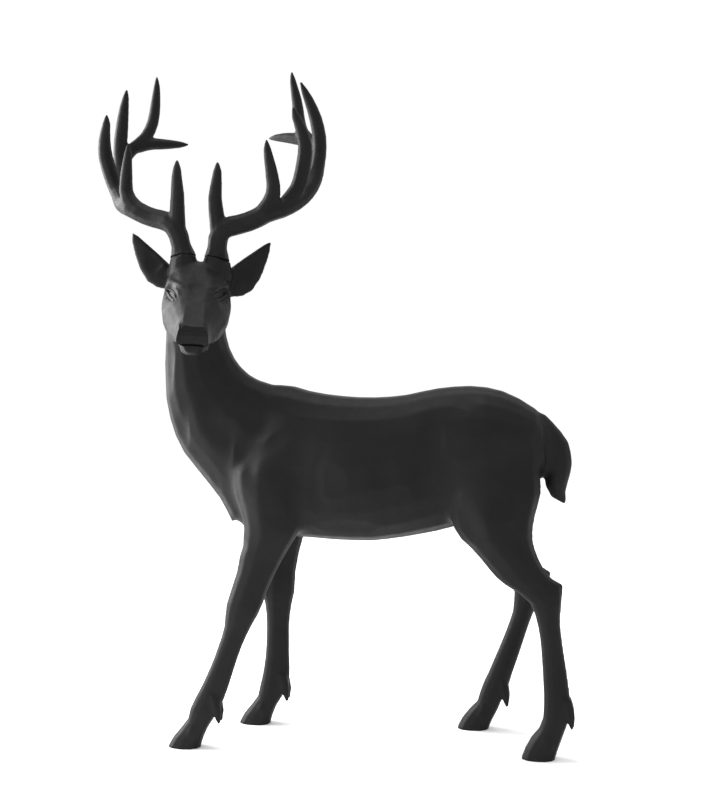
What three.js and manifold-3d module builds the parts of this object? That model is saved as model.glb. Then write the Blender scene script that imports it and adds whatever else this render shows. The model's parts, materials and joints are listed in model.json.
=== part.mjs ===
// A standing stag in cast iron, about two thirds of life size. The body, from hooves to ears, is one casting.
// The two antlers are castings of their own that seat on the stumps (pedicles) on the skull.
// Millimetres, +Z up, the stag faces -X and its left side is -Y. The origin is on the floor, midway between the hooves.
import * as THREE from "three";
import { mergeVertices } from "three/addons/utils/BufferGeometryUtils.js";
import Module from "manifold-3d";

const wasm = await Module();
wasm.setup();

// ---- Driving dimensions ----

const poll = new THREE.Vector3(-291, -30, 891); // top of the skull, midway between the antlers
const headTurn = 101; // degrees from straight ahead, to the stag's left
const headTilt = 3.8; // degrees, the crown leaning to the stag's left
const antlerTwist = -19; // degrees that both antlers sit turned back from the head
const antlerTilt = -2; // degrees, the antlers' own lean, to the stag's right
const seamBack = 15; // degrees that a seam leans back, so its front edge stands higher
const seamOut = 8; // degrees that a seam leans outwards
const pedicleSpacing = 60; // between the antlers' centres
const pedicleRadius = 23;
const chordError = 0.5; // how far a merged face may sit off the rings it came from
const seamGap = 0.6; // between a pedicle and its antler
const limbStep = 21; // spacing of rings along a leg
const antlerStep = 17; // spacing of rings along an antler's branches

// ---- Lofting ----

// Cubic through the rows of a table that never overshoots them: the slope is zero wherever a column turns.
function smoothRows(rows, knots, at) {
  let i = 0;
  while (i < knots.length - 2 && at > knots[i + 1]) i++;
  const span = knots[i + 1] - knots[i];
  const t = (at - knots[i]) / span;
  const slope = (column, k) => {
    if (k === 0 || k === rows.length - 1) {
      const j = k === 0 ? 0 : k - 1;
      return (rows[j + 1][column] - rows[j][column]) / (knots[j + 1] - knots[j]);
    }
    const before = (rows[k][column] - rows[k - 1][column]) / (knots[k] - knots[k - 1]);
    const after = (rows[k + 1][column] - rows[k][column]) / (knots[k + 1] - knots[k]);
    return before * after <= 0 ? 0 : (2 * before * after) / (before + after);
  };
  return rows[i].map((low, column) => {
    const high = rows[i + 1][column];
    return (
      low * (1 + 2 * t) * (1 - t) ** 2 + high * t * t * (3 - 2 * t) +
      span * (slope(column, i) * t * (1 - t) ** 2 - slope(column, i + 1) * t * t * (1 - t))
    );
  });
}

// A table row is a section through the limb: [front x, front z, back x, back z, y, half width, widest at, squareness].
// "Widest at" is the share of the way from front to back, and squareness 2 is an ellipse.
function ringOf([frontX, frontZ, backX, backZ, y, half, widest, square], sides) {
  const front = new THREE.Vector3(frontX, y, frontZ);
  const back = new THREE.Vector3(backX, y, backZ);
  const centre = front.clone().lerp(back, widest);
  const bend = (v) => Math.sign(v) * Math.abs(v) ** (2 / square);
  return Array.from({ length: sides }, (_, i) => {
    const angle = ((i + 0.5) / sides) * 2 * Math.PI;
    const along = bend(Math.cos(angle));
    const point = centre.clone().lerp(along > 0 ? front : back, Math.abs(along));
    point.y += half * bend(Math.sin(angle));
    return point;
  });
}

// Joins rings of equal length into one closed skin, with a flat fan on each end.
function skin(rings) {
  const sides = rings[0].length;
  const points = rings.flat();
  const faces = [];
  for (let r = 0; r < rings.length - 1; r++)
    for (let i = 0; i < sides; i++) {
      const a = r * sides + i;
      const b = r * sides + ((i + 1) % sides);
      faces.push(a, b, b + sides, a, b + sides, a + sides);
    }
  const cap = (ring, flip) => {
    const middle = points.length;
    const start = ring * sides;
    points.push(rings[ring].reduce((sum, p) => sum.add(p), new THREE.Vector3()).divideScalar(sides));
    for (let i = 0; i < sides; i++) {
      const pair = [start + i, start + ((i + 1) % sides)];
      faces.push(middle, ...(flip ? pair.reverse() : pair));
    }
  };
  cap(0, true);
  cap(rings.length - 1, false);
  return new THREE.BufferGeometry().setFromPoints(points).setIndex(faces);
}

function loft(rows, sides, step) {
  const middles = rows.map((r) => new THREE.Vector3(r[0] + r[2], 2 * r[4], r[1] + r[3]).divideScalar(2));
  const knots = [0];
  for (let i = 1; i < rows.length; i++) knots.push(knots[i - 1] + middles[i].distanceTo(middles[i - 1]));
  const length = knots.at(-1);
  const count = Math.ceil(length / step);
  const rings = Array.from({ length: count + 1 }, (_, i) =>
    ringOf(smoothRows(rows, knots, (length * i) / count), sides),
  );
  return skin(rings);
}

// A solid from a closed geometry, turned the right way out, and moved by a matrix.
function solid(geometry, matrix) {
  const bare = new THREE.BufferGeometry()
    .setAttribute("position", geometry.getAttribute("position").clone())
    .setIndex(geometry.index);
  if (matrix) bare.applyMatrix4(matrix);
  const merged = mergeVertices(bare, 1e-3);
  const points = merged.attributes.position.array;
  const faces = new Uint32Array(merged.index.array);
  const made = new wasm.Manifold(new wasm.Mesh({ numProp: 3, vertProperties: points, triVerts: faces }));
  if (made.volume() > 0) return made;
  for (let i = 0; i < faces.length; i += 3) [faces[i], faces[i + 1]] = [faces[i + 1], faces[i]];
  return new wasm.Manifold(new wasm.Mesh({ numProp: 3, vertProperties: points, triVerts: faces }));
}

function geometryOf(made) {
  const mesh = made.getMesh();
  return new THREE.BufferGeometry()
    .setAttribute("position", new THREE.BufferAttribute(mesh.vertProperties, 3))
    .setIndex(new THREE.BufferAttribute(mesh.triVerts, 1));
}

const joined = (solids) => solids.reduce((sum, next) => sum.add(next));
const radians = THREE.MathUtils.degToRad;

// ---- Trunk and neck ----

// [x, top, bottom, half width, widest at, squareness], from the brisket to the buttocks
const trunkSections = [
  [-238, 580, 414, 38, 0.55, 2],
  [-215, 630, 396, 60, 0.6, 2],
  [-185, 657, 386, 76, 0.6, 2],
  [-145, 662, 381, 87, 0.6, 2],
  [-95, 650, 380, 93, 0.58, 2.1],
  [-45, 642, 377, 97, 0.55, 2.2],
  [10, 639, 376, 98, 0.52, 2.2],
  [65, 642, 382, 95, 0.5, 2.2],
  [115, 652, 391, 90, 0.45, 2.2],
  [160, 660, 401, 86, 0.42, 2.1],
  [205, 662, 420, 87, 0.4, 2.1],
  [250, 655, 440, 81, 0.42, 2],
  [290, 638, 465, 69, 0.45, 2],
  [325, 614, 490, 50, 0.5, 2],
  [345, 590, 520, 26, 0.5, 2],
];
const trunk = loft(
  trunkSections.map(([x, top, bottom, half, widest, square]) => [x, top, x, bottom, 0, half, widest, square]),
  20,
  30,
);

// [throat x, throat z, nape x, nape z, y, half width], from inside the chest to inside the skull
const neckSections = [
  [-240, 405, -100, 600, 0, 62],
  [-262, 448, -135, 648, 0, 68],
  [-300, 496, -168, 662, 0, 66],
  [-335, 543, -195, 671, -2, 61],
  [-353, 592, -220, 690, -5, 57],
  [-360, 640, -236, 713, -10, 55],
  [-360, 685, -246, 742, -15, 53],
  [-357, 735, -250, 775, -20, 53],
  [-352, 785, -254, 812, -24, 50],
  [-343, 825, -258, 846, -22, 44],
  [-326, 850, -270, 862, -18, 28],
];
const neck = loft(
  neckSections.map((row) => [...row, 0.5, 2.1]),
  16,
  28,
);

// ---- Legs ----

// Where each leg's joints stand: [x, y, z] from the sole up to where the leg ends inside the trunk.
const forePoses = {
  left: [[-317, -78, 0], [-276, -80, 80], [-207, -75, 258], [-160, -66, 400], [-164, -55, 500], [-150, -16, 625]],
  right: [[-216, 82, 0], [-177, 78, 80], [-169, 74, 262], [-162, 66, 400], [-164, 55, 500], [-150, 16, 625]],
};
const hindPoses = {
  left: [[327, -70, 0], [360, -76, 92], [338, -76, 292], [298, -72, 330], [248, -62, 402], [252, -26, 598]],
  right: [[203, 98, 0], [242, 90, 80], [313, 80, 280], [282, 74, 322], [240, 62, 402], [252, 26, 598]],
};

// Flesh round the joints: [place, in front, behind, half width, squareness].
// Place counts joints up from the sole, so 1.5 is halfway between the fetlock and the knee or hock.
const foreFlesh = [
  [0, 31, 30, 22, 2.2],
  [0.08, 31, 29, 22, 2.2],
  [0.38, 28, 25, 20, 2.1],
  [0.58, 19, 27, 17, 2],
  [0.95, 26, 29, 17, 2],
  [1.12, 23, 30, 15, 2],
  [1.35, 19, 27, 15, 2],
  [1.62, 19, 25, 16, 2],
  [1.84, 23, 28, 19, 2],
  [2, 32, 33, 22, 2.2],
  [2.2, 34, 33, 22, 2.1],
  [2.5, 35, 38, 22, 2],
  [2.8, 42, 47, 28, 2],
  [3, 46, 56, 34, 2],
  [3.3, 50, 66, 37, 2],
  [3.7, 62, 82, 38, 2],
  [4, 64, 86, 38, 2],
  [4.3, 58, 76, 36, 2],
  [4.6, 52, 54, 30, 2],
  [5, 22, 20, 14, 2],
];
const hindFlesh = [
  [0, 31, 30, 22, 2.2],
  [0.08, 31, 30, 22, 2.2],
  [0.33, 30, 28, 21, 2.1],
  [0.52, 24, 29, 18, 2],
  [0.72, 18, 27, 17, 2],
  [0.98, 24, 27, 17, 2],
  [1.12, 22, 25, 16, 2],
  [1.3, 20, 24, 15, 2],
  [1.6, 18, 21, 16, 2],
  [1.8, 21, 21, 18, 2],
  [2, 34, 28, 21, 2.1],
  [2.3, 42, 41, 22, 2.1],
  [2.62, 49, 54, 23, 2.1],
  [3, 52, 46, 26, 2],
  [3.3, 55, 46, 31, 2],
  [3.7, 62, 54, 37, 2],
  [4, 70, 65, 42, 2],
  [4.15, 84, 68, 44, 2],
  [4.4, 92, 78, 45, 2],
  [4.7, 80, 72, 40, 2],
  [5, 48, 42, 24, 2],
];

function leg(pose, flesh) {
  const rows = flesh.map(([place, before, behind, half, square]) => {
    const joint = Math.min(Math.floor(place), pose.length - 2);
    const [x, y, z] = pose[joint].map((low, i) => THREE.MathUtils.lerp(low, pose[joint + 1][i], place - joint));
    return [x - before, z, x + behind, z, y, half, before / (before + behind), square];
  });
  return loft(rows, 11, limbStep);
}

// The two claws that hang behind a fetlock.
function dewclaws(pose) {
  const [x, y, z] = pose[1];
  return [-1, 1].map((side) => {
    const clawY = y + side * 9;
    return loft(
      [
        [x + 4, z + 20, x + 25, z + 22, clawY, 8, 0.5, 2],
        [x + 9, z, x + 31, z, clawY, 9, 0.5, 2],
        [x + 16, z - 18, x + 32, z - 15, clawY + side, 7, 0.5, 2],
        [x + 24, z - 33, x + 29, z - 31, clawY + side, 2.5, 0.5, 2],
    ],
      6,
      20,
    );
  });
}

// The split between a hoof's two toes: a wedge, open at the toe, that closes halfway back.
function cleft(pose) {
  const [x, y] = pose[0];
  const toe = x - 45;
  const mouth = 4;
  const wedge = new THREE.Shape([
    new THREE.Vector2(toe, y - mouth),
    new THREE.Vector2(x + 6, y),
    new THREE.Vector2(toe, y + mouth),
  ]);
  return new THREE.ExtrudeGeometry(wedge, { depth: 36, bevelEnabled: false }).translate(0, 0, -2);
}

// ---- Head ----

// In the head's own frame, at the poll: it faces -X, its left is -Y.
// [top ahead, top up, bottom ahead, bottom up, half width, widest at, squareness]
const skullSections = [
  [-66, -48, -52, -92, 26, 0.5, 2],
  [-52, -20, -34, -118, 48, 0.5, 2.2],
  [-24, -5, -6, -134, 57, 0.5, 2.3],
  [8, -6, 22, -142, 60, 0.52, 2.4],
  [38, -20, 46, -148, 62, 0.52, 2.3],
  [66, -42, 72, -152, 59, 0.55, 2.2],
  [92, -63, 96, -155, 50, 0.62, 2.3],
  [118, -83, 118, -154, 39, 0.7, 2.5],
  [142, -101, 138, -153, 31, 0.74, 2.8],
  [158, -113, 152, -152, 29, 0.76, 3],
  [168, -121, 162, -152, 28, 0.78, 3],
  [174, -129, 170, -151, 26, 0.78, 3],
];
const jawSections = [
  [0, -116, 10, -146, 38, 0.5, 2],
  [60, -128, 66, -158, 34, 0.5, 2],
  [100, -134, 104, -166, 26, 0.5, 2.2],
  [130, -140, 134, -169, 22, 0.5, 2.4],
  [152, -143, 150, -168, 19, 0.5, 2.6],
  [162, -146, 158, -163, 13, 0.5, 2.4],
];
const aheadIsMinusX = ([aheadTop, up, aheadBottom, down, ...rest]) => [-aheadTop, up, -aheadBottom, down, 0, ...rest];
const skull = loft(skullSections.map(aheadIsMinusX), 18, 15);
const jaw = loft(jawSections.map(aheadIsMinusX), 10, 22);

const headMatrix = new THREE.Matrix4()
  .makeTranslation(poll)
  .multiply(new THREE.Matrix4().makeRotationZ(radians(headTurn)))
  .multiply(new THREE.Matrix4().makeRotationX(radians(headTilt)));

function ball(radius, [x, y, z]) {
  return new THREE.SphereGeometry(radius, 10, 7).translate(x, y, z);
}

// An ear, as a leaf from its root to its tip: [share of length, above the axis, below it, half thickness].
const earRoot = new THREE.Vector3(20, 50, -30); // head frame, y taken outwards
const earTip = new THREE.Vector3(24, 126, 38);
const earLeaf = [
  [-0.2, 9, 24, 12],
  [0, 9, 38, 12],
  [0.2, 8, 43, 13],
  [0.45, 7, 37, 11],
  [0.7, 5, 24, 8],
  [0.9, 3.5, 11, 4],
  [1, 1.5, 1.5, 1.5],
];
const earWall = 4;
const dishForward = 15; // how far ahead of the ear its hollow is centred, which makes it shallow
const leftEarDrop = 8; // how much deeper the left ear is than the right one, at its root
function ear(side) {
  const axis = earTip.clone().sub(earRoot);
  const leaf = (inset, ahead) =>
    skin(
      earLeaf.slice(inset ? 1 : 0).map(([share, above, below, thick]) => {
        const centre = earRoot.clone().addScaledVector(axis, inset ? 0.22 + share * 0.66 : share);
        const upward = new THREE.Vector3(0, -axis.z, axis.y).normalize();
        const depth = below + (side < 0 ? leftEarDrop * Math.min(1, 1 - share) : 0);
        return Array.from({ length: 12 }, (_, i) => {
          const angle = (i / 12) * 2 * Math.PI;
          const reach = (Math.cos(angle) > 0 ? above : depth) - inset;
          const point = centre.clone().addScaledVector(upward, Math.max(reach, 0.8) * Math.cos(angle));
          point.x += Math.max(thick - inset * 0.6, 0.8) * Math.sin(angle) - ahead;
          point.y *= side;
          return point;
        });
      }),
    );
  return solid(leaf(0, 0)).subtract(solid(leaf(earWall, dishForward)));
}

// ---- Antlers ----

// In the antler's own frame, on the seam: [out, ahead, up, radius, droop] along each branch.
// Droop is the share of the left antler's sag that a point takes.
const leftSag = 13;
const branches = {
  beam: [
    [0, 0, -12, 23.5], [0, 0, 0, 23.5], [1, 1, 10, 20.5], [3, 2, 22, 18], [7, 4, 43, 18.5, 0.2], [16, 4, 59, 19.5, 0.4], [32, 0, 67, 19, 0.6],
    [52, -4, 72, 18.5, 0.7], [76, -6, 81, 18.5, 0.8], [98, -9, 93, 19, 0.9], [122, -28, 102, 18, 1], [145, -62, 120, 17, 1],
    [158, -96, 146, 16, 0.8], [163, -118, 178, 14, 0.4], [155, -132, 205, 12.5], [140, -142, 219, 12.5], [122, -150, 227, 12],
  ],
  brow: [
    [8, 3, 46, 16, 0.2], [6, 6, 78, 14.5], [4, 6, 108, 13], [6, 1, 138, 10.5], [7, -5, 162, 7.5], [7, -7, 172, 4.5],
    [7, -7, 176, 2],
  ],
  front: [
    [84, -6, 84, 17, 0.8], [103, -8, 104, 16, 0.6], [110, -10, 122, 13.5, 0.2], [108, -9, 152, 11.5], [103, -8, 186, 8.5],
    [101, -8, 204, 5], [101, -8, 210, 2.2],
  ],
  outer: [
    [126, -30, 106, 15, 0.8], [145, -46, 132, 15, 0.6], [157, -46, 166, 14.5, 0.2], [163, -42, 198, 13.5], [158, -34, 230, 10.5],
    [150, -27, 254, 7], [148, -24, 262, 4.5], [148, -24, 267, 2],
  ],
  rear: [
    [162, -106, 160, 14, 0.6], [166, -118, 186, 13.5, 0.2], [167, -122, 214, 13.5], [162, -122, 250, 12.5], [151, -113, 290, 9],
    [142, -105, 314, 4.8], [140, -103, 321, 2],
  ],
  crown: [
    [150, -136, 212, 11.5], [126, -150, 234, 12], [116, -164, 262, 11.5], [112, -170, 290, 10.5], [107, -169, 322, 7.5],
    [104, -167, 344, 4.4], [104, -167, 350, 2],
  ],
  inward: [
    [140, -142, 216, 12], [118, -153, 222, 12], [96, -162, 221, 10.5, -0.4], [72, -172, 220, 7.8, -0.7], [56, -177, 219, 4.6, -0.8],
    [50, -179, 219, 2, -0.8],
  ],
};

function branch(rows, side, sides = 8) {
  const path = new THREE.CatmullRomCurve3(
    rows.map(([out, ahead, up, , droop = 0]) => new THREE.Vector3(-ahead, side * out, up - droop * (side < 0 ? leftSag : 0))),
    false,
    "centripetal",
  );
  const steps = Math.max(6, Math.round(path.getLength() / antlerStep));
  const frames = path.computeFrenetFrames(steps, false);
  const knots = rows.map((_, i) => i);
  const rings = Array.from({ length: steps + 1 }, (_, k) => {
    const share = path.getUtoTmapping(k / steps);
    const centre = path.getPoint(share);
    const [radius] = smoothRows(rows.map((row) => [row[3]]), knots, share * (rows.length - 1));
    return Array.from({ length: sides }, (_, i) => {
      const angle = ((i + 0.5) / sides) * 2 * Math.PI;
      return centre
        .clone()
        .addScaledVector(frames.normals[k], radius * Math.cos(angle))
        .addScaledVector(frames.binormals[k], radius * Math.sin(angle));
    });
  });
  return skin(rings);
}

// A block with one face on the seam, half the gap away from it: above the seam, or below it where way is -1.
function besideSeam(side, way) {
  const lean = new THREE.Matrix4()
    .makeRotationX(radians(-side * seamOut))
    .multiply(new THREE.Matrix4().makeRotationY(radians(seamBack)));
  return solid(new THREE.BoxGeometry(200, 200, 60).translate(0, 0, way * (30 - seamGap / 2)), lean);
}

// Everything above the seam, cut flat there.
function antler(side) {
  const grown = joined(Object.values(branches).map((rows) => solid(branch(rows, side))));
  return grown.subtract(besideSeam(side, -1)).simplify(chordError);
}

// The seam's frame: on the head, but turned and tilted as the antlers sit.
function seamMatrix(side) {
  const foot = new THREE.Vector3(0, (side * pedicleSpacing) / 2, 0).applyMatrix4(headMatrix);
  return new THREE.Matrix4()
    .makeTranslation(foot)
    .multiply(new THREE.Matrix4().makeRotationZ(radians(headTurn + antlerTwist)))
    .multiply(new THREE.Matrix4().makeRotationX(radians(antlerTilt)));
}

// The stump below the seam, which swells a little where the antler sits.
function pedicle(side) {
  const heights = [-46, -30, -10, 0, 12];
  const radii = [22, 29, 25.5, pedicleRadius, pedicleRadius];
  const rings = heights.map((z, k) =>
    Array.from({ length: 14 }, (_, i) => {
      const angle = ((i + 0.5) / 14) * 2 * Math.PI;
      return new THREE.Vector3(radii[k] * Math.cos(angle), radii[k] * Math.sin(angle), z);
    }),
  );
  return solid(skin(rings)).subtract(besideSeam(side, 1)).transform(seamMatrix(side).elements);
}

// ---- Tail ----

const tail = loft(
  [
    [312, 618, 334, 610, 0, 12, 0.5, 2],
    [318, 592, 352, 592, 0, 18, 0.5, 2],
    [326, 560, 377, 558, 0, 23, 0.5, 2],
    [330, 526, 383, 524, 0, 25, 0.5, 2],
    [332, 496, 379, 500, 0, 24, 0.5, 2],
    [338, 472, 373, 480, 0, 18, 0.5, 2],
    [352, 457, 371, 466, 0, 10, 0.5, 2],
    [368, 450, 372, 453, 0, 3, 0.5, 2],
  ],
  10,
  20,
);

// ---- The castings ----

const legs = [
  [forePoses, foreFlesh],
  [hindPoses, hindFlesh],
].flatMap(([poses, flesh]) => Object.values(poses).map((pose) => ({ pose, flesh })));

const sides = [-1, 1];
let body = joined([
  solid(trunk),
  solid(neck),
  solid(tail),
  ...legs.map(({ pose, flesh }) => solid(leg(pose, flesh))),
  ...legs.flatMap(({ pose }) => dewclaws(pose).map((claw) => solid(claw))),
  solid(skull, headMatrix),
  solid(jaw, headMatrix),
  ...sides.map(pedicle),
  ...sides.map((side) => ear(side).transform(headMatrix.elements)),
]);
for (const { pose } of legs) body = body.subtract(solid(cleft(pose)));
for (const side of sides) {
  body = body.subtract(solid(ball(12, [-54, side * 53, -67]), headMatrix));
  body = body.add(solid(ball(11, [-49, side * 45, -67]), headMatrix));
}

body = body.simplify(chordError);

const castIron = new THREE.MeshStandardMaterial({ color: 0x232224, roughness: 0.55, metalness: 0.2 });

function casting(name, made) {
  const mesh = new THREE.Mesh(geometryOf(made), castIron.clone());
  mesh.name = name;
  return mesh;
}

const stag = new THREE.Group();
stag.add(casting("stag_body", body));
for (const [name, side] of [["antler_left", -1], ["antler_right", 1]]) {
  const seat = new THREE.Group();
  seat.applyMatrix4(seamMatrix(side));
  seat.add(casting(name, antler(side)));
  stag.add(seat);
}

// The origin goes under the middle of the whole stag.
const extent = new THREE.Box3().setFromObject(stag, true);
const middle = extent.getCenter(new THREE.Vector3());
stag.position.set(-middle.x, -middle.y, -extent.min.z);

export default stag;
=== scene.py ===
# A cast iron stag, black and matte, with carved planes, face, hooves and antlers, in a plain studio.
import json
import math

import bmesh
import bpy
import numpy as np
from mathutils import Matrix, Vector


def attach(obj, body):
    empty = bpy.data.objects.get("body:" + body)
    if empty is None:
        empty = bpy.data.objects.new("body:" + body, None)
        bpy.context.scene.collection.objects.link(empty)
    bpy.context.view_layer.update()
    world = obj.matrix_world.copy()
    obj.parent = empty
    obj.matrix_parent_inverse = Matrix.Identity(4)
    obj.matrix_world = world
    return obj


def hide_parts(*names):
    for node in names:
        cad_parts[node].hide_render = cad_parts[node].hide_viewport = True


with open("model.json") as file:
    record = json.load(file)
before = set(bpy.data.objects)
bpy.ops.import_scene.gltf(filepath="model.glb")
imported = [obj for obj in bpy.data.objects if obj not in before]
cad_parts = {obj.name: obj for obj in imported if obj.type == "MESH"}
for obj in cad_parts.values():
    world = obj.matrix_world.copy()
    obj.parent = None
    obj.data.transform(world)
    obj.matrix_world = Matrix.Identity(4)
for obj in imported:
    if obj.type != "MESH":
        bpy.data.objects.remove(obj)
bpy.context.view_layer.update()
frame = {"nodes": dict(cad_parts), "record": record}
print("frame loaded")


def smoothStep(low, high, value):
    t = np.clip((value - low) / (high - low), 0, 1)
    return t * t * (3 - 2 * t)


def mergedCopy(nodeName, name):
    mesh = frame["nodes"][nodeName].data.copy()
    mesh.name = name
    bm = bmesh.new()
    bm.from_mesh(mesh)
    bmesh.ops.remove_doubles(bm, verts=bm.verts, dist=1e-6)
    bm.to_mesh(mesh)
    bm.free()
    obj = bpy.data.objects.new(name, mesh)
    bpy.context.collection.objects.link(obj)
    return obj


def bakeModifiers(obj):
    evaluated = obj.evaluated_get(bpy.context.evaluated_depsgraph_get())
    mesh = bpy.data.meshes.new_from_object(evaluated)
    obj.modifiers.clear()
    obj.data = mesh


def voxelSkin(obj, voxel):
    remesh = obj.modifiers.new("skin", "REMESH")
    remesh.mode = "VOXEL"
    remesh.voxel_size = voxel
    bakeModifiers(obj)


def thin(obj, mostTriangles):
    triangles = sum(len(face.vertices) - 2 for face in obj.data.polygons)
    if triangles > mostTriangles:
        decimate = obj.modifiers.new("thin", "DECIMATE")
        decimate.ratio = mostTriangles / triangles
        bakeModifiers(obj)


# A mesh's points worked as clay.
class Clay:
    def __init__(self, obj):
        self.obj = obj
        self.read()

    def read(self):
        mesh = self.obj.data
        count = len(mesh.vertices)
        self.points = np.empty(count * 3)
        mesh.vertices.foreach_get("co", self.points)
        self.points = self.points.reshape(-1, 3)
        edges = np.empty(len(mesh.edges) * 2, dtype=np.int64)
        mesh.edges.foreach_get("vertices", edges)
        edges = edges.reshape(-1, 2)
        self.near = np.concatenate([edges[:, 1], edges[:, 0]])
        self.here = np.concatenate([edges[:, 0], edges[:, 1]])
        mesh.calc_loop_triangles()
        triangles = np.empty(len(mesh.loop_triangles) * 3, dtype=np.int64)
        mesh.loop_triangles.foreach_get("vertices", triangles)
        self.triangles = triangles.reshape(-1, 3)

    def normals(self):
        a, b, c = (self.points[self.triangles[:, k]] for k in range(3))
        faces = np.cross(b - a, c - a)
        out = np.zeros_like(self.points)
        for k in range(3):
            corner = self.triangles[:, k]
            for axis in range(3):
                out[:, axis] += np.bincount(corner, weights=faces[:, axis], minlength=len(out))
        return out / np.maximum(np.linalg.norm(out, axis=1), 1e-12)[:, None]

    # Each round shrinks the surface a little and swells it back; hollows fill out more freely.
    def relax(self, rounds, weight, fill=0.5, keep=0.53):
        leastWeight, roundsPerNormals = 0.002, 12
        weight = np.broadcast_to(weight, len(self.points))
        moving = weight > leastWeight
        edges = np.flatnonzero(moving[self.here])
        ring = np.unique(np.concatenate([np.flatnonzero(moving), self.near[edges]]))
        rank = np.full(len(self.points), -1)
        rank[ring] = np.arange(len(ring))
        here, near = rank[self.here[edges]], rank[self.near[edges]]
        size = len(ring)
        share = 1 / np.maximum(np.bincount(here, minlength=size), 1)[:, None]
        stay = np.bincount(here, minlength=size) == 0
        work = self.points[ring]
        pace = weight[ring][:, None]

        def pull():
            sums = [np.bincount(here, weights=work[near, k], minlength=size) for k in range(3)]
            way = np.stack(sums, axis=1) * share - work
            way[stay] = 0
            return way

        for turn in range(rounds):
            if turn % roundsPerNormals == 0:
                self.points[ring] = work
                normals = self.normals()[ring]
            first = pull()
            outward = np.sum(first * normals, axis=1)[:, None]
            work = work + pace * first * 0.5
            work = work - pace * pull() * np.where(outward > 0, keep * (1 - fill), keep)
        self.points[ring] = work

    def write(self):
        self.obj.data.vertices.foreach_set("co", self.points.ravel())
        self.obj.data.update()

    # Splits the faces round the given spots in four, so that they can hold finer work.
    def refine(self, spots):
        self.write()
        bm = bmesh.new()
        bm.from_mesh(self.obj.data)
        bm.faces.ensure_lookup_table()
        middle = self.points[self.triangles].mean(axis=1)
        faceOf = np.empty(len(self.triangles), dtype=np.int64)
        self.obj.data.loop_triangles.foreach_get("polygon_index", faceOf)
        chosen = np.zeros(len(middle), dtype=bool)
        for place, radius in spots:
            chosen |= np.linalg.norm(middle - np.array(place), axis=1) < radius
        edges = {edge for i in np.unique(faceOf[chosen]) for edge in bm.faces[i].edges}
        bmesh.ops.subdivide_edges(bm, edges=list(edges), cuts=1, use_grid_fill=True)
        bm.to_mesh(self.obj.data)
        bm.free()
        self.read()

    # Pares what stands proud of a plane, on a stretch from start to end, as a flat chisel does.
    # Without a depth, the plane passes through the start itself.
    def pare(self, start, end, direction, radius, depth=None, soft=0.45):
        start, end = np.array(start), np.array(end)
        direction = np.array(direction) / np.linalg.norm(direction)
        run = end - start
        run = run - (run @ direction) * direction
        offset = self.points - start
        height = offset @ direction
        flat = offset - height[:, None] * direction
        along = np.clip(flat @ run / max(run @ run, 1e-12), 0, 1)
        reach = np.linalg.norm(flat - along[:, None] * run, axis=1) / radius
        inside = (reach < 1) & (np.abs(height) < 1.5 * radius)
        if not inside.any():
            return
        top = 0 if depth is None else height[inside & (reach < 0.5)].max() - depth
        cut = np.where(inside & (height > top), (height - top) * smoothStep(1.0, soft, reach), 0)
        self.points -= cut[:, None] * direction

    # Presses a line in, or raises it where the depth is negative, along the surface's own normals.
    def score(self, path, radius, depth, direction=None, taper=0.0):
        path = np.array(path)
        low, high = path.min(axis=0) - radius, path.max(axis=0) + radius
        close = np.flatnonzero(np.all((self.points > low) & (self.points < high), axis=1))
        if not len(close):
            return
        points = self.points[close]
        amount = np.zeros(len(close))
        for i, (a, b) in enumerate(zip(path[:-1], path[1:])):
            along = np.clip((points - a) @ (b - a) / max((b - a) @ (b - a), 1e-12), 0, 1)
            distance = np.linalg.norm(points - a - along[:, None] * (b - a), axis=1)
            share = (i + along) / (len(path) - 1)
            strength = 1 - taper + taper * np.sin(np.pi * np.clip(share, 0.02, 0.98))
            amount = np.maximum(amount, smoothStep(1, 0, distance / radius) * strength)
        push = self.normals()[close] if direction is None else np.array(direction)
        self.points[close] -= (amount * depth)[:, None] * push


def curveThrough(places, steps=6):
    places = [np.array(p, dtype=float) for p in places]
    ends = [2 * places[0] - places[1], *places, 2 * places[-1] - places[-2]]
    out = []
    for a, b, c, d in zip(ends, ends[1:], ends[2:], ends[3:]):
        for k in range(steps):
            t = k / steps
            square, cube = t * t, t**3
            bend, twist = 2 * a - 5 * b + 4 * c - d, 3 * b - a - 3 * c + d
            out.append(0.5 * (2 * b + (c - a) * t + bend * square + twist * cube))
    return np.array([*out, places[-1]])


headPlace = {
    "poll": (-0.2387, -0.0069, 0.891),  # top of the skull, midway between the antlers
    "turn": 101,  # degrees from straight ahead to the stag's left
    "tilt": 3.8,  # degrees, crown to the stag's left
}

# The head has a frame of its own: ahead, left and up from the poll, in mm.
headSwing = Matrix.Rotation(math.radians(headPlace["turn"]), 4, "Z")
headLean = Matrix.Rotation(math.radians(headPlace["tilt"]), 4, "X")
headTurn = np.array((headSwing @ headLean).to_3x3())
headMiddle = (70, 0, -85)
muzzleMiddle = (162, 3, -129)


def headPoint(ahead, left, up):
    return np.array(headPlace["poll"]) + headTurn @ np.array((-ahead, -left, up)) / 1000


def headWay(ahead, left, up):
    way = headTurn @ np.array((-ahead, -left, up), dtype=float)
    return way / np.linalg.norm(way)


def toHead(points):
    return (points - np.array(headPlace["poll"])) @ headTurn * (-1000, -1000, 1000)


# Lays a path of (left, up) places on the front of the face.
def onFace(clay, path, smooth=True, furthestBack=-20):
    furthestAhead, reach = 200, 2.5
    path = curveThrough(path) if smooth and len(path) > 2 else np.array(path, dtype=float)
    local = toHead(clay.points)
    near = np.flatnonzero((local[:, 0] > furthestBack) & (local[:, 0] < furthestAhead))
    local = local[near]
    out = []
    for left, up in path:
        gap = np.hypot(local[:, 1] - left, local[:, 2] - up)
        spot = np.flatnonzero(gap < max(reach, gap.min() + 0.5))
        out.append(clay.points[near[spot[np.argmax(local[spot, 0])]]])
    return np.array(out)


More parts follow.
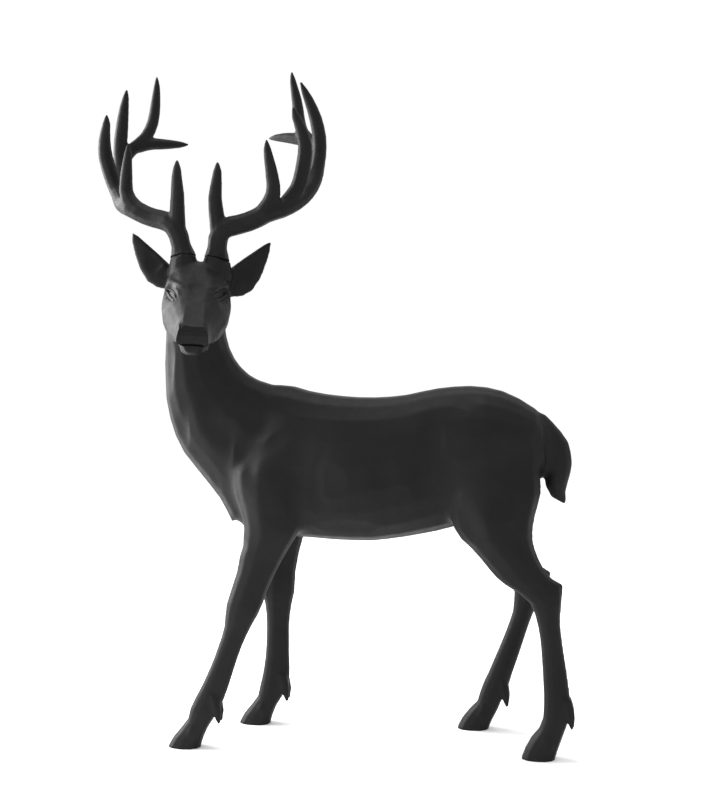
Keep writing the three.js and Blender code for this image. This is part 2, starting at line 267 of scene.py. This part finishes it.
def faceStroke(clay, path, radius, depth, taper=0.6, furthestBack=-20, direction=None):
    path = onFace(clay, path, furthestBack=furthestBack)
    clay.score(path, radius / 1000, depth / 1000, direction, taper)


def facePlane(clay, start, end, direction, radius, depth=None, soft=0.7):
    depth = None if depth is None else depth / 1000
    ends = headPoint(*start), headPoint(*end)
    clay.pare(*ends, headWay(*direction), radius / 1000, depth, soft)


# An eye between its two corners, each (left, up): socket, ball, lids, crease, brow and lower fold.
# Across it u goes from -1 at the inner corner to 1 at the outer one; v is the height in mm.
def carveEye(clay, inner, outer, openness):
    corners = onFace(clay, [inner, outer], smooth=False)
    centre = corners.mean(axis=0)
    distance = np.linalg.norm(clay.points - centre, axis=1)
    normals = clay.normals()
    outward = normals[distance < 0.012].mean(axis=0)
    along = corners[1] - corners[0]
    half = np.linalg.norm(along) / 2 * 1000
    along /= np.linalg.norm(along)
    outward -= (outward @ along) * along
    outward /= np.linalg.norm(outward)
    upward = np.cross(outward, along)
    upward *= np.sign(upward[2])
    close = np.flatnonzero((distance < 0.040) & (normals @ outward > 0.1))
    offset = (clay.points[close] - centre) * 1000
    u = offset @ along / half
    v = offset @ upward
    arch = np.clip(1 - u * u, 0, 1)
    upper = openness * arch**0.7 * (1 - 0.12 * u)
    lower = -0.62 * openness * arch**0.8
    window = smoothStep(1.35, 0.75, np.abs(u))

    def line(at, width):
        return np.exp(-(((v - at) / width) ** 2))

    betweenLids = smoothStep(-0.8, 1.1, upper - v) * smoothStep(-0.8, 1.1, v - lower)
    opening = betweenLids * smoothStep(1.0, 0.7, np.abs(u))
    middle = (upper + lower) / 2
    ball = np.clip(1 - (u / 0.85) ** 2 - ((v - middle) / (1.35 * openness)) ** 2, 0, 1) ** 0.5
    socket = np.exp(-((u * half / 16) ** 2) - (v / 9) ** 2)
    innerCorner = np.exp(-(((u + 1.04) * half / 3.0) ** 2) - ((v + 1.2) / 2.4) ** 2)
    lids = 1.9 * line(upper + 1.5, 2.0) + 0.4 * line(lower - 1.2, 1.6)
    crease, brow = line(upper + 5.2, 1.6), line(upper + 10.0, 3.8)
    amount = -4.2 * socket + opening * (-4.4 + 4.0 * ball) - 2.4 * innerCorner
    amount += window * (lids - 0.8 * crease + 1.8 * brow - 0.7 * line(lower - 5.0, 1.8))
    clay.points[close] += (amount / 1000)[:, None] * outward


# The leaf's edges above and below its axis, in mm, along its length.
earShape = {
    "share": (0, 0.2, 0.45, 0.7, 0.9, 1),
    "above": (9, 8, 7, 5, 3.5, 1.5),
    "below": (38, 43, 37, 24, 11, 1.5),
}

bodyMiddle = 0.0231
bodyHalfWidth = 0.07

# Flat places of the trunk: start (x, z), end (x, z), radius, turn to the front and up, depth.
# Lengths are in m and turns in degrees.
flankPlanes = [
    ((-0.145, 0.550), (-0.125, 0.440), 0.066, 38, 6, 0.0085),
    ((-0.066, 0.540), (-0.064, 0.440), 0.070, -14, -4, 0.0045),
    ((-0.140, 0.600), (-0.115, 0.595), 0.055, -12, -8, 0.0030),
    ((0.010, 0.530), (0.020, 0.450), 0.090, 8, -2, 0.0025),
    ((0.120, 0.540), (0.150, 0.500), 0.090, -8, 2, 0.0030),
    ((0.010, 0.612), (0.230, 0.626), 0.055, 0, 46, 0.0030),
    ((0.000, 0.425), (0.150, 0.430), 0.055, 0, -40, 0.0035),
    ((0.245, 0.570), (0.238, 0.480), 0.070, 30, 6, 0.0060),
    ((0.255, 0.430), (0.290, 0.370), 0.055, 26, 0, 0.0050),
    ((0.320, 0.560), (0.318, 0.430), 0.075, -20, 0, 0.0065),
    ((0.350, 0.560), (0.355, 0.500), 0.050, -56, 8, 0.0040),
]
neckPlanes = [
    ((-0.272, 0.700), (-0.258, 0.590), 0.055, 54, 0, 0.0050),
    ((-0.250, 0.570), (-0.195, 0.480), 0.058, 54, -6, 0.0050),
    ((-0.190, 0.470), (-0.155, 0.405), 0.050, 60, -16, 0.0045),
    ((-0.212, 0.700), (-0.200, 0.590), 0.055, 2, -4, 0.0050),
    ((-0.178, 0.700), (-0.150, 0.650), 0.046, -32, 26, 0.0040),
]
tailGroove = [(0.386, 0.592), (0.391, 0.565), (0.394, 0.540), (0.395, 0.518)]
# Hollows, and ridges with a depth below 0: places (x, z), radius and depth in m.
flankLines = [
    ([(-0.104, 0.575), (-0.100, 0.500), (-0.088, 0.415)], 0.052, -0.0070),
    ([(-0.040, 0.580), (-0.042, 0.500), (-0.030, 0.430)], 0.048, 0.0040),
    ([(-0.145, 0.600), (-0.118, 0.600), (-0.105, 0.612)], 0.036, 0.0050),
    ([(-0.249, 0.684), (-0.236, 0.590), (-0.196, 0.545), (-0.145, 0.481), (-0.116, 0.390)], 0.030, -0.0040),
    (
        [(0.262, 0.590), (0.284, 0.550), (0.268, 0.500), (0.268, 0.450), (0.300, 0.395), (0.345, 0.335)],
        0.055,
        -0.0080,
    ),
    ([(0.185, 0.590), (0.190, 0.530), (0.195, 0.470)], 0.050, 0.0050),
    ([(0.345, 0.560), (0.345, 0.500), (0.335, 0.440)], 0.045, 0.0040),
    ([(0.020, 0.540), (0.040, 0.470)], 0.060, -0.0030),
    ([(0.110, 0.540), (0.120, 0.490)], 0.050, 0.0030),
]


def flankWay(side, front, up):
    front, up = math.radians(front), math.radians(up)
    level = math.cos(up)
    return np.array((-math.sin(front) * level, side * math.cos(front) * level, math.sin(up)))


# Lays a path of (x, z) places on one flank of the chosen points.
def onFlank(clay, path, side, chosen=None):
    points = clay.points if chosen is None else clay.points[chosen]
    out = []
    for x, z in curveThrough(path):
        gap = np.hypot(points[:, 0] - x, points[:, 2] - z)
        spot = np.flatnonzero(gap < max(0.004, gap.min() + 0.001))
        out.append(points[spot[np.argmax(side * points[spot, 1])]])
    return np.array(out)


def carveFlanks(clay):
    for side in (-1, 1):
        for path, radius, depth in flankLines:
            clay.score(onFlank(clay, path, side), radius, depth, taper=0.9)
        for start, end, radius, front, up, depth in flankPlanes + neckPlanes:
            ends = [(x, bodyMiddle + side * bodyHalfWidth, z) for x, z in (start, end)]
            clay.pare(*ends, flankWay(side, front, up), radius, depth, soft=0.1)
        clay.score(onFlank(clay, tailGroove, side), 0.008, 0.0045, taper=0.7)


# The right eye's corners, then the left one's, and how far the upper lid stands above the middle.
eyeCorners = [((-39, -72), (-59, -59)), ((36, -67), (58, -56))]
eyeOpenness = 4.6
# Planes on each side of the face: start, end and way out in the head's frame, radius and depth in mm.
cheekPlanes = [
    ((60, 42, -78), (148, 24, -124), (0.36, 0.80, 0.46), 34, 5.0),
    ((50, 52, -130), (118, 34, -144), (0.24, 0.95, -0.22), 22, 1.5),
    ((10, 32, -12), (40, 40, -36), (0.58, 0.62, 0.54), 24, 3.0),
]


def carveHead(clay):
    # the crown, apart from the antlers' seats
    crownMiddle, crownReach, seatRadius = (8, 0, -20), (46, 52, 30), 0.027
    crown = np.linalg.norm((toHead(clay.points) - crownMiddle) / crownReach, axis=1)
    for seam in seams:
        crown = np.where(np.linalg.norm(clay.points - seam, axis=1) < seatRadius, 2, crown)
    clay.relax(60, smoothStep(1.1, 0.8, crown), fill=1.0, keep=0.5)
    # the bridge of the nose, the planes beside it and the jaw
    facePlane(clay, (84, 0, -56), (152, 3, -108), (0.61, 0, 0.79), 26, 2.6, soft=0.4)
    for side in (-1, 1):
        for start, end, way, radius, depth in cheekPlanes:
            start, end, way = ((ahead, side * left, up) for ahead, left, up in (start, end, way))
            facePlane(clay, start, end, way, radius, depth)
    # the end of the nose: a steep band, then the flat pad under it, and the lower lip set back
    facePlane(clay, (161.5, -18, -116), (161.5, 24, -116), (1, 0, 0.03), 15, soft=0.85)
    facePlane(clay, (163, -14, -128), (163, 20, -128), (0.957, 0, 0.29), 46, soft=0.85)
    facePlane(clay, (157, -14, -163), (157, 20, -163), (0.97, 0, -0.24), 34, soft=0.85)
    muzzle = np.linalg.norm(clay.points - headPoint(*muzzleMiddle), axis=1)
    clay.relax(10, 0.8 * smoothStep(0.026, 0.018, muzzle), keep=0.5)
    # the valley up the forehead between two low ridges
    faceStroke(clay, [(2, -64), (0, -44), (0, -20)], 18, 2.4)
    for side in (-1, 1):
        faceStroke(clay, [(side * 15, -66), (side * 24, -48), (side * 27, -30)], 14, -2.6)
        faceStroke(clay, [(side * 22, -48), (side * 40, -47), (side * 56, -40)], 9, -3.0)
        faceStroke(clay, [(side * 18, -76), (side * 17.5, -96), (side * 19, -112)], 5, -0.6)
    for inner, outer in eyeCorners:
        carveEye(clay, inner, outer, eyeOpenness)
    # nostrils and mouth
    faceStroke(clay, [(-19, -112), (-22, -114), (-23, -118), (-21, -122)], 1.9, 3.0, taper=0.4)
    faceStroke(clay, [(-24, -110), (-26, -115), (-25, -121)], 2.6, -1.3)
    faceStroke(clay, [(24, -116), (25.5, -119), (24, -123)], 2.2, 1.4, taper=0.5)
    mouth = [(-27, -157), (-20, -153.5), (-10, -152), (3, -151.5), (16, -152), (25, -153.5), (31, -157)]
    faceStroke(clay, mouth, 2.4, 5.0, 0.1, 125, headWay(1, 0, 0.1))


# The soft swelling where each hoof grows out of the pastern, and the flat sole.
def carveHooves(clay):
    lowLeg, soleSkin, soleReach, halfFoot = 0.09, 0.004, 0.06, 0.04
    low = clay.points[:, 2] < lowLeg
    soles = clay.points[clay.points[:, 2] < soleSkin]
    for middle in hoofPlaces:
        near = soles[np.linalg.norm(soles[:, :2] - middle, axis=1) < soleReach]
        toe, heel = near[:, 0].min(), near[:, 0].max()
        line = [(toe + 0.030, 0.047), (toe + 0.048, 0.040), (heel - 0.010, 0.030), (heel + 0.004, 0.026)]
        for side in (-1, 1):
            foot = np.abs(clay.points[:, 1] - middle[1]) <= halfFoot
            clay.score(onFlank(clay, line, side, foot), 0.0110, -0.0016, taper=0.9)
    clay.relax(6, np.where(low, 0.8, 0), keep=0.515)
    clay.points[:, 2] = np.where(clay.points[:, 2] < castBody["soleDepth"], 0.0, clay.points[:, 2])


# An ear's dish, the ridge along it and the strip that turns away below the ridge.
def carveEar(clay, side, drop):
    root, tip = headPoint(20, side * 50, -30), headPoint(24, side * 126, 38)
    axis = tip - root
    upward = headWay(0, side * -68, 76)
    ahead = headWay(1, 0, 0)
    offset = clay.points - root
    t = offset @ axis / (axis @ axis)
    s = offset @ upward * 1000
    front = smoothStep(-2, 3, offset @ ahead * 1000 - 4 * t)
    inLeaf = (t > 0.02) & (t < 1.1) & (np.abs(s) < 62) & (np.abs(offset @ ahead) < 0.03)
    clay.relax(90, np.where(inLeaf, front, 0) * smoothStep(-0.05, 0.1, t), fill=0.8, keep=0.5)
    above = np.interp(t, earShape["share"], earShape["above"])
    below = np.interp(t, earShape["share"], earShape["below"]) + drop * (1 - t)
    ridge = -below * 0.62
    middle, reach = (above - 1 + ridge) / 2, (above - 1 - ridge) / 2
    window = smoothStep(-0.05, 0.25, t) * smoothStep(1.0, 0.85, t)
    dish = np.clip(1 - ((s - middle) / reach) ** 2, 0, 1)
    strip = np.clip((ridge - s) / np.maximum(below + ridge, 3), 0, 1.2)
    amount = window * (-3.4 * dish + 2.0 * np.exp(-(((s - ridge) / 2.0) ** 2)) - 8.0 * strip)
    clay.points += np.where(inLeaf, front * amount / 1000, 0)[:, None] * ahead


castBody = {
    "voxel": 0.0023,
    "trunkRounds": 200,  # rounds of smoothing on the trunk and neck
    "limbRounds": 38,
    "headRounds": 26,
    "earRounds": 60,
    "edgeRounds": 30,  # after the planes are cut, to soften their edges
    "soleDepth": 0.0022,  # what lies below this is pressed flat on the floor
    "mostTriangles": 196000,
}

seams = [headPoint(0, side * 30, 0) for side in (-1, 1)]  # middles of the antlers' seats, right then left
hoofPlaces = [mount["pos_m"][:2] for mount in frame["record"]["mounts"]]  # middles of the four soles


# Smooths the trunk most, the legs and skull less, and leaves the antlers' seats crisp.
def smoothBody(clay):
    place = clay.points
    inHead = toHead(place)
    outward = np.abs(inHead[:, 1])
    skullMiddle, skullReach = (55, 0, -75), (119, 114, 103)
    skullShare = smoothStep(1.5, 1.2, np.linalg.norm((inHead - skullMiddle) / skullReach, axis=1))
    earShare = smoothStep(46, 56, outward) * (np.abs(inHead[:, 0] - 22) < 60) * (inHead[:, 2] > -95)
    headShare = np.maximum(skullShare, earShare)
    clay.relax(castBody["earRounds"], earShare * smoothStep(56, 66, outward), fill=0.3, keep=0.506)
    crisp = 1
    for seam in seams:
        gap = np.linalg.norm(place - seam, axis=1)
        crisp = crisp * (0.12 + 0.88 * smoothStep(0.026, 0.038, gap))
    limbShare = smoothStep(0.40, 0.33, place[:, 2])
    hoofShare = smoothStep(0.085, 0.06, place[:, 2])
    trunkShare = (1 - headShare) * (1 - limbShare)
    limbWeight = limbShare * (1 - 0.3 * hoofShare) + 0.15 * trunkShare
    clay.relax(castBody["limbRounds"], limbWeight, keep=0.515)
    clay.relax(castBody["headRounds"], headShare * crisp)
    clay.relax(castBody["trunkRounds"], trunkShare * 0.98, fill=0.75, keep=0.505)


body = mergedCopy("stag_body", "stagCasting")
voxelSkin(body, castBody["voxel"])
clay = Clay(body)
print("body skinned:", len(clay.points), "points")
smoothBody(clay)
print("body smoothed")
carveFlanks(clay)
clay.relax(castBody["edgeRounds"], smoothStep(0.33, 0.40, clay.points[:, 2]) * 0.8)
print("planes cut")
ears = [(headPoint(22, side * 92, -8), 0.070) for side in (-1, 1)]
hooves = [((x, y, 0.02), 0.070) for x, y in hoofPlaces]
eyes = [(headPoint(50, side * 48, -66), 0.034) for side in (-1, 1)]
clay.refine([(headPoint(*headMiddle), 0.125), *ears, *hooves])
clay.refine([*eyes, (headPoint(160, 3, -136), 0.042)])
print("head refined:", len(clay.points), "points")
carveHooves(clay)
carveHead(clay)
carveEar(clay, -1, 0)
carveEar(clay, 1, 8)
headGap = np.linalg.norm(clay.points - headPoint(*headMiddle), axis=1)
clay.relax(4, 0.7 * (headGap < 0.115))
clay.write()
thin(body, castBody["mostTriangles"])
print("body done:", len(body.data.polygons), "faces")

blackIron = {
    "colour": (0.0056, 0.0054, 0.0056),
    "worn": (0.0092, 0.0088, 0.0090),
    "roughness": (0.48, 0.60),
    "specular": 0.15,
    "grainScale": 520,
    "grainHeight": 0.00016,
    "waveScale": 34,
    "waveHeight": 0.0011,
}


def newMaterial(name):
    material = bpy.data.materials.new(name)
    material.use_nodes = True
    return material, material.node_tree, material.node_tree.nodes["Principled BSDF"]


def node(tree, kind, **settings):
    made = tree.nodes.new(kind)
    for key, value in settings.items():
        if hasattr(made, key):
            setattr(made, key, value)
        else:
            made.inputs[key].default_value = value
    return made


def ramp(tree, source, stops):
    made = tree.nodes.new("ShaderNodeValToRGB")
    for i, (at, value) in enumerate(stops):
        stop = made.color_ramp.elements[i] if i < 2 else made.color_ramp.elements.new(at)
        stop.position = at
        stop.color = (*value, 1) if isinstance(value, tuple) else (value, value, value, 1)
    tree.links.new(source, made.inputs["Fac"])
    return made.outputs["Color"]


def ironFinish(name):
    material, tree, shader = newMaterial(name)
    link = tree.links.new
    where = tree.nodes.new("ShaderNodeTexCoord").outputs["Object"]
    clouds = node(tree, "ShaderNodeTexNoise", Scale=9.0, Detail=5.0, Roughness=0.6)
    rub = node(tree, "ShaderNodeTexNoise", Scale=65.0, Detail=6.0, Roughness=0.65)
    grain = node(tree, "ShaderNodeTexNoise", Scale=blackIron["grainScale"], Detail=4.0, Roughness=0.6)
    wave = node(tree, "ShaderNodeTexNoise", Scale=blackIron["waveScale"], Detail=2.0, Roughness=0.5)
    for texture in (clouds, rub, grain, wave):
        link(where, texture.inputs["Vector"])
    tint = ramp(tree, clouds.outputs["Fac"], [(0.35, blackIron["colour"]), (0.75, blackIron["worn"])])
    link(tint, shader.inputs["Base Color"])
    low, high = blackIron["roughness"]
    link(ramp(tree, rub.outputs["Fac"], [(0.3, low), (0.7, high)]), shader.inputs["Roughness"])
    shader.inputs["Specular IOR Level"].default_value = blackIron["specular"]
    bumpWave = node(tree, "ShaderNodeBump", Distance=blackIron["waveHeight"], Strength=0.5)
    bumpGrain = node(tree, "ShaderNodeBump", Distance=blackIron["grainHeight"], Strength=0.6)
    link(wave.outputs["Fac"], bumpWave.inputs["Height"])
    link(grain.outputs["Fac"], bumpGrain.inputs["Height"])
    link(bumpWave.outputs["Normal"], bumpGrain.inputs["Normal"])
    link(bumpGrain.outputs["Normal"], shader.inputs["Normal"])
    return material


iron = ironFinish("blackCastIron")


castAntlers = {
    "voxel": 0.0016,
    "rounds": 170,
    "mostTriangles": 90000,
    "beadRing": 0.0218,  # radius of the ragged bead round each antler's foot
    "beadThickness": 0.0016,
    "beadRaggedness": 0.0040,
}


# A closed ring of metal with a ragged surface.
def raggedRing(name, ring, thickness, raggedness, seed):
    tree = bpy.data.node_groups.new(name + "Tree", "GeometryNodeTree")
    face = tree.interface
    given = {"Ring Radius": ring, "Thickness": thickness, "Raggedness": raggedness, "Seed": seed}
    inputs = {}
    for label, value in given.items():
        socket = face.new_socket(label, in_out="INPUT", socket_type="NodeSocketFloat")
        inputs[socket.identifier] = value
    face.new_socket("Geometry", in_out="OUTPUT", socket_type="NodeSocketGeometry")
    link = tree.links.new
    dials = tree.nodes.new("NodeGroupInput").outputs
    circle = tree.nodes.new("GeometryNodeCurvePrimitiveCircle")
    circle.inputs["Resolution"].default_value = 140
    profile = tree.nodes.new("GeometryNodeCurvePrimitiveCircle")
    profile.inputs["Resolution"].default_value = 14
    sweep = tree.nodes.new("GeometryNodeCurveToMesh")
    ragged = tree.nodes.new("ShaderNodeTexNoise")
    ragged.noise_dimensions = "4D"
    ragged.inputs["Scale"].default_value = 170
    ragged.inputs["Detail"].default_value = 3
    centred = tree.nodes.new("ShaderNodeVectorMath")
    centred.operation = "SUBTRACT"
    centred.inputs[1].default_value = (0.5, 0.5, 0.5)
    scaled = tree.nodes.new("ShaderNodeVectorMath")
    scaled.operation = "SCALE"
    shift = tree.nodes.new("GeometryNodeSetPosition")
    real = tree.nodes.new("GeometryNodeRealizeInstances")
    paint = tree.nodes.new("GeometryNodeSetMaterial")
    paint.inputs["Material"].default_value = iron
    out = tree.nodes.new("NodeGroupOutput")
    link(dials["Ring Radius"], circle.inputs["Radius"])
    link(dials["Thickness"], profile.inputs["Radius"])
    link(circle.outputs["Curve"], sweep.inputs["Curve"])
    link(profile.outputs["Curve"], sweep.inputs["Profile Curve"])
    link(dials["Seed"], ragged.inputs["W"])
    link(ragged.outputs["Color"], centred.inputs[0])
    link(centred.outputs["Vector"], scaled.inputs[0])
    link(dials["Raggedness"], scaled.inputs["Scale"])
    link(sweep.outputs["Mesh"], shift.inputs["Geometry"])
    link(scaled.outputs["Vector"], shift.inputs["Offset"])
    link(shift.outputs["Geometry"], real.inputs["Geometry"])
    link(real.outputs["Geometry"], paint.inputs["Geometry"])
    link(paint.outputs["Geometry"], out.inputs["Geometry"])
    holder = bpy.data.objects.new(name, bpy.data.meshes.new(name))
    bpy.context.collection.objects.link(holder)
    grow = holder.modifiers.new("grow", "NODES")
    grow.node_group = tree
    for identifier, value in inputs.items():
        grow[identifier] = value
    bakeModifiers(holder)
    return holder


# The middle and the upward way of the flat foot that an antler stands on.
def footOf(mesh, near):
    centres = np.array([face.center for face in mesh.polygons])
    ways = np.array([face.normal for face in mesh.polygons])
    areas = np.array([face.area for face in mesh.polygons])
    flat = (np.linalg.norm(centres - near, axis=1) < 0.03) & (ways[:, 2] < -0.85)
    share = (areas * flat) / (areas * flat).sum()
    way = -(ways * share[:, None]).sum(axis=0)
    return (centres * share[:, None]).sum(axis=0), way / np.linalg.norm(way)


def joinInto(obj, other):
    bm = bmesh.new()
    bm.from_mesh(obj.data)
    bm.from_mesh(other.data)
    bm.to_mesh(obj.data)
    bm.free()
    bpy.data.objects.remove(other)


antlers = {}
for number, (side, seam) in enumerate(zip(("left", "right"), reversed(seams))):
    antler = mergedCopy("antler_" + side, side + "Antler")
    foot, upward = footOf(antler.data, seam)
    ring, thickness = castAntlers["beadRing"], castAntlers["beadThickness"]
    bead = raggedRing(side + "Bead", ring, thickness, castAntlers["beadRaggedness"], 3.7 + number)
    seat = foot + upward * thickness * 0.9
    lean = Vector(upward).to_track_quat("Z", "Y").to_matrix().to_4x4()
    bead.data.transform(Matrix.Translation(seat) @ lean)
    joinInto(antler, bead)
    voxelSkin(antler, castAntlers["voxel"])
    horn = Clay(antler)
    height = (horn.points - foot) @ upward
    weight = 0.06 + 0.94 * smoothStep(0.004, 0.018, height)
    horn.relax(castAntlers["rounds"], weight, fill=0.3, keep=0.504)
    horn.write()
    thin(antler, castAntlers["mostTriangles"])
    antlers[side] = antler
    print(side, "antler done:", len(antler.data.polygons), "faces")


pieces = ((body, "stag_body"), (antlers["left"], "antler_left"), (antlers["right"], "antler_right"))
for obj, nodeName in pieces:
    obj.data.materials.clear()
    obj.data.materials.append(iron)
    obj.data.shade_smooth()
    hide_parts(nodeName)
    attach(obj, "root")
for obj in frame["nodes"].values():
    obj.data.materials.clear()
    obj.data.materials.append(iron)
print("finish on")

studio = {
    "world": 1.0,
    "lightsAim": (-0.1, 0, 0.6),
    "lights": {  # place, width and height, power in watts
        "keySoftbox": ((-2.25, 0.35, 1.3), (2.2, 2.2), 170),
        "topSoftbox": ((-0.15, 0.3, 2.9), (1.6, 1.2), 16),
    },
    "floorSize": 60,
    "floorColour": (0.94, 0.94, 0.94),
    "floorGlow": 0.08,
}

half = studio["floorSize"] / 2
floorMesh = bpy.data.meshes.new("studioFloor")
corners = [(-half, -half, 0), (half, -half, 0), (half, half, 0), (-half, half, 0)]
floorMesh.from_pydata(corners, [], [(0, 1, 2, 3)])
floor = bpy.data.objects.new("studioFloor", floorMesh)
bpy.context.collection.objects.link(floor)
floorPaint, _, floorShader = newMaterial("paleFloor")
floorShader.inputs["Base Color"].default_value = (*studio["floorColour"], 1)
floorShader.inputs["Roughness"].default_value = 0.9
floorShader.inputs["Specular IOR Level"].default_value = 0.0
floorShader.inputs["Emission Color"].default_value = (1, 1, 1, 1)
floorShader.inputs["Emission Strength"].default_value = studio["floorGlow"]
floorMesh.materials.append(floorPaint)

world = bpy.data.worlds.new("whiteStudio")
world.use_nodes = True
sky = world.node_tree.nodes["Background"]
sky.inputs["Color"].default_value = (1, 1, 1, 1)
sky.inputs["Strength"].default_value = studio["world"]
bpy.context.scene.world = world


def areaLight(name, at, aim, size, power):
    data = bpy.data.lights.new(name, "AREA")
    data.shape = "RECTANGLE"
    data.size, data.size_y = size
    data.energy = power
    light = bpy.data.objects.new(name, data)
    light.location = at
    light.rotation_euler = (Vector(aim) - Vector(at)).to_track_quat("-Z", "Y").to_euler()
    light.visible_camera = False
    bpy.context.collection.objects.link(light)


for name, (at, size, power) in studio["lights"].items():
    areaLight(name, at, studio["lightsAim"], size, power)

cameraView = {
    "azimuth": 7,  # degrees round from the stag's left side towards its tail
    "elevation": 5,
    "distance": 2.7,
    "aim": (0.0465, -0.0234, 0.636),
    "lens": 67.56,
}
azimuth, elevation = math.radians(cameraView["azimuth"]), math.radians(cameraView["elevation"])
level = math.cos(elevation)
back = Vector((math.sin(azimuth) * level, -math.cos(azimuth) * level, math.sin(elevation)))
camera = bpy.data.objects.new("camera", bpy.data.cameras.new("camera"))
camera.location = Vector(cameraView["aim"]) + back * cameraView["distance"]
camera.rotation_euler = (-back).to_track_quat("-Z", "Y").to_euler()
camera.data.lens = cameraView["lens"]
camera.data.clip_end = 100
bpy.context.collection.objects.link(camera)
bpy.context.scene.camera = camera
bpy.context.scene.view_settings.view_transform = "Standard"
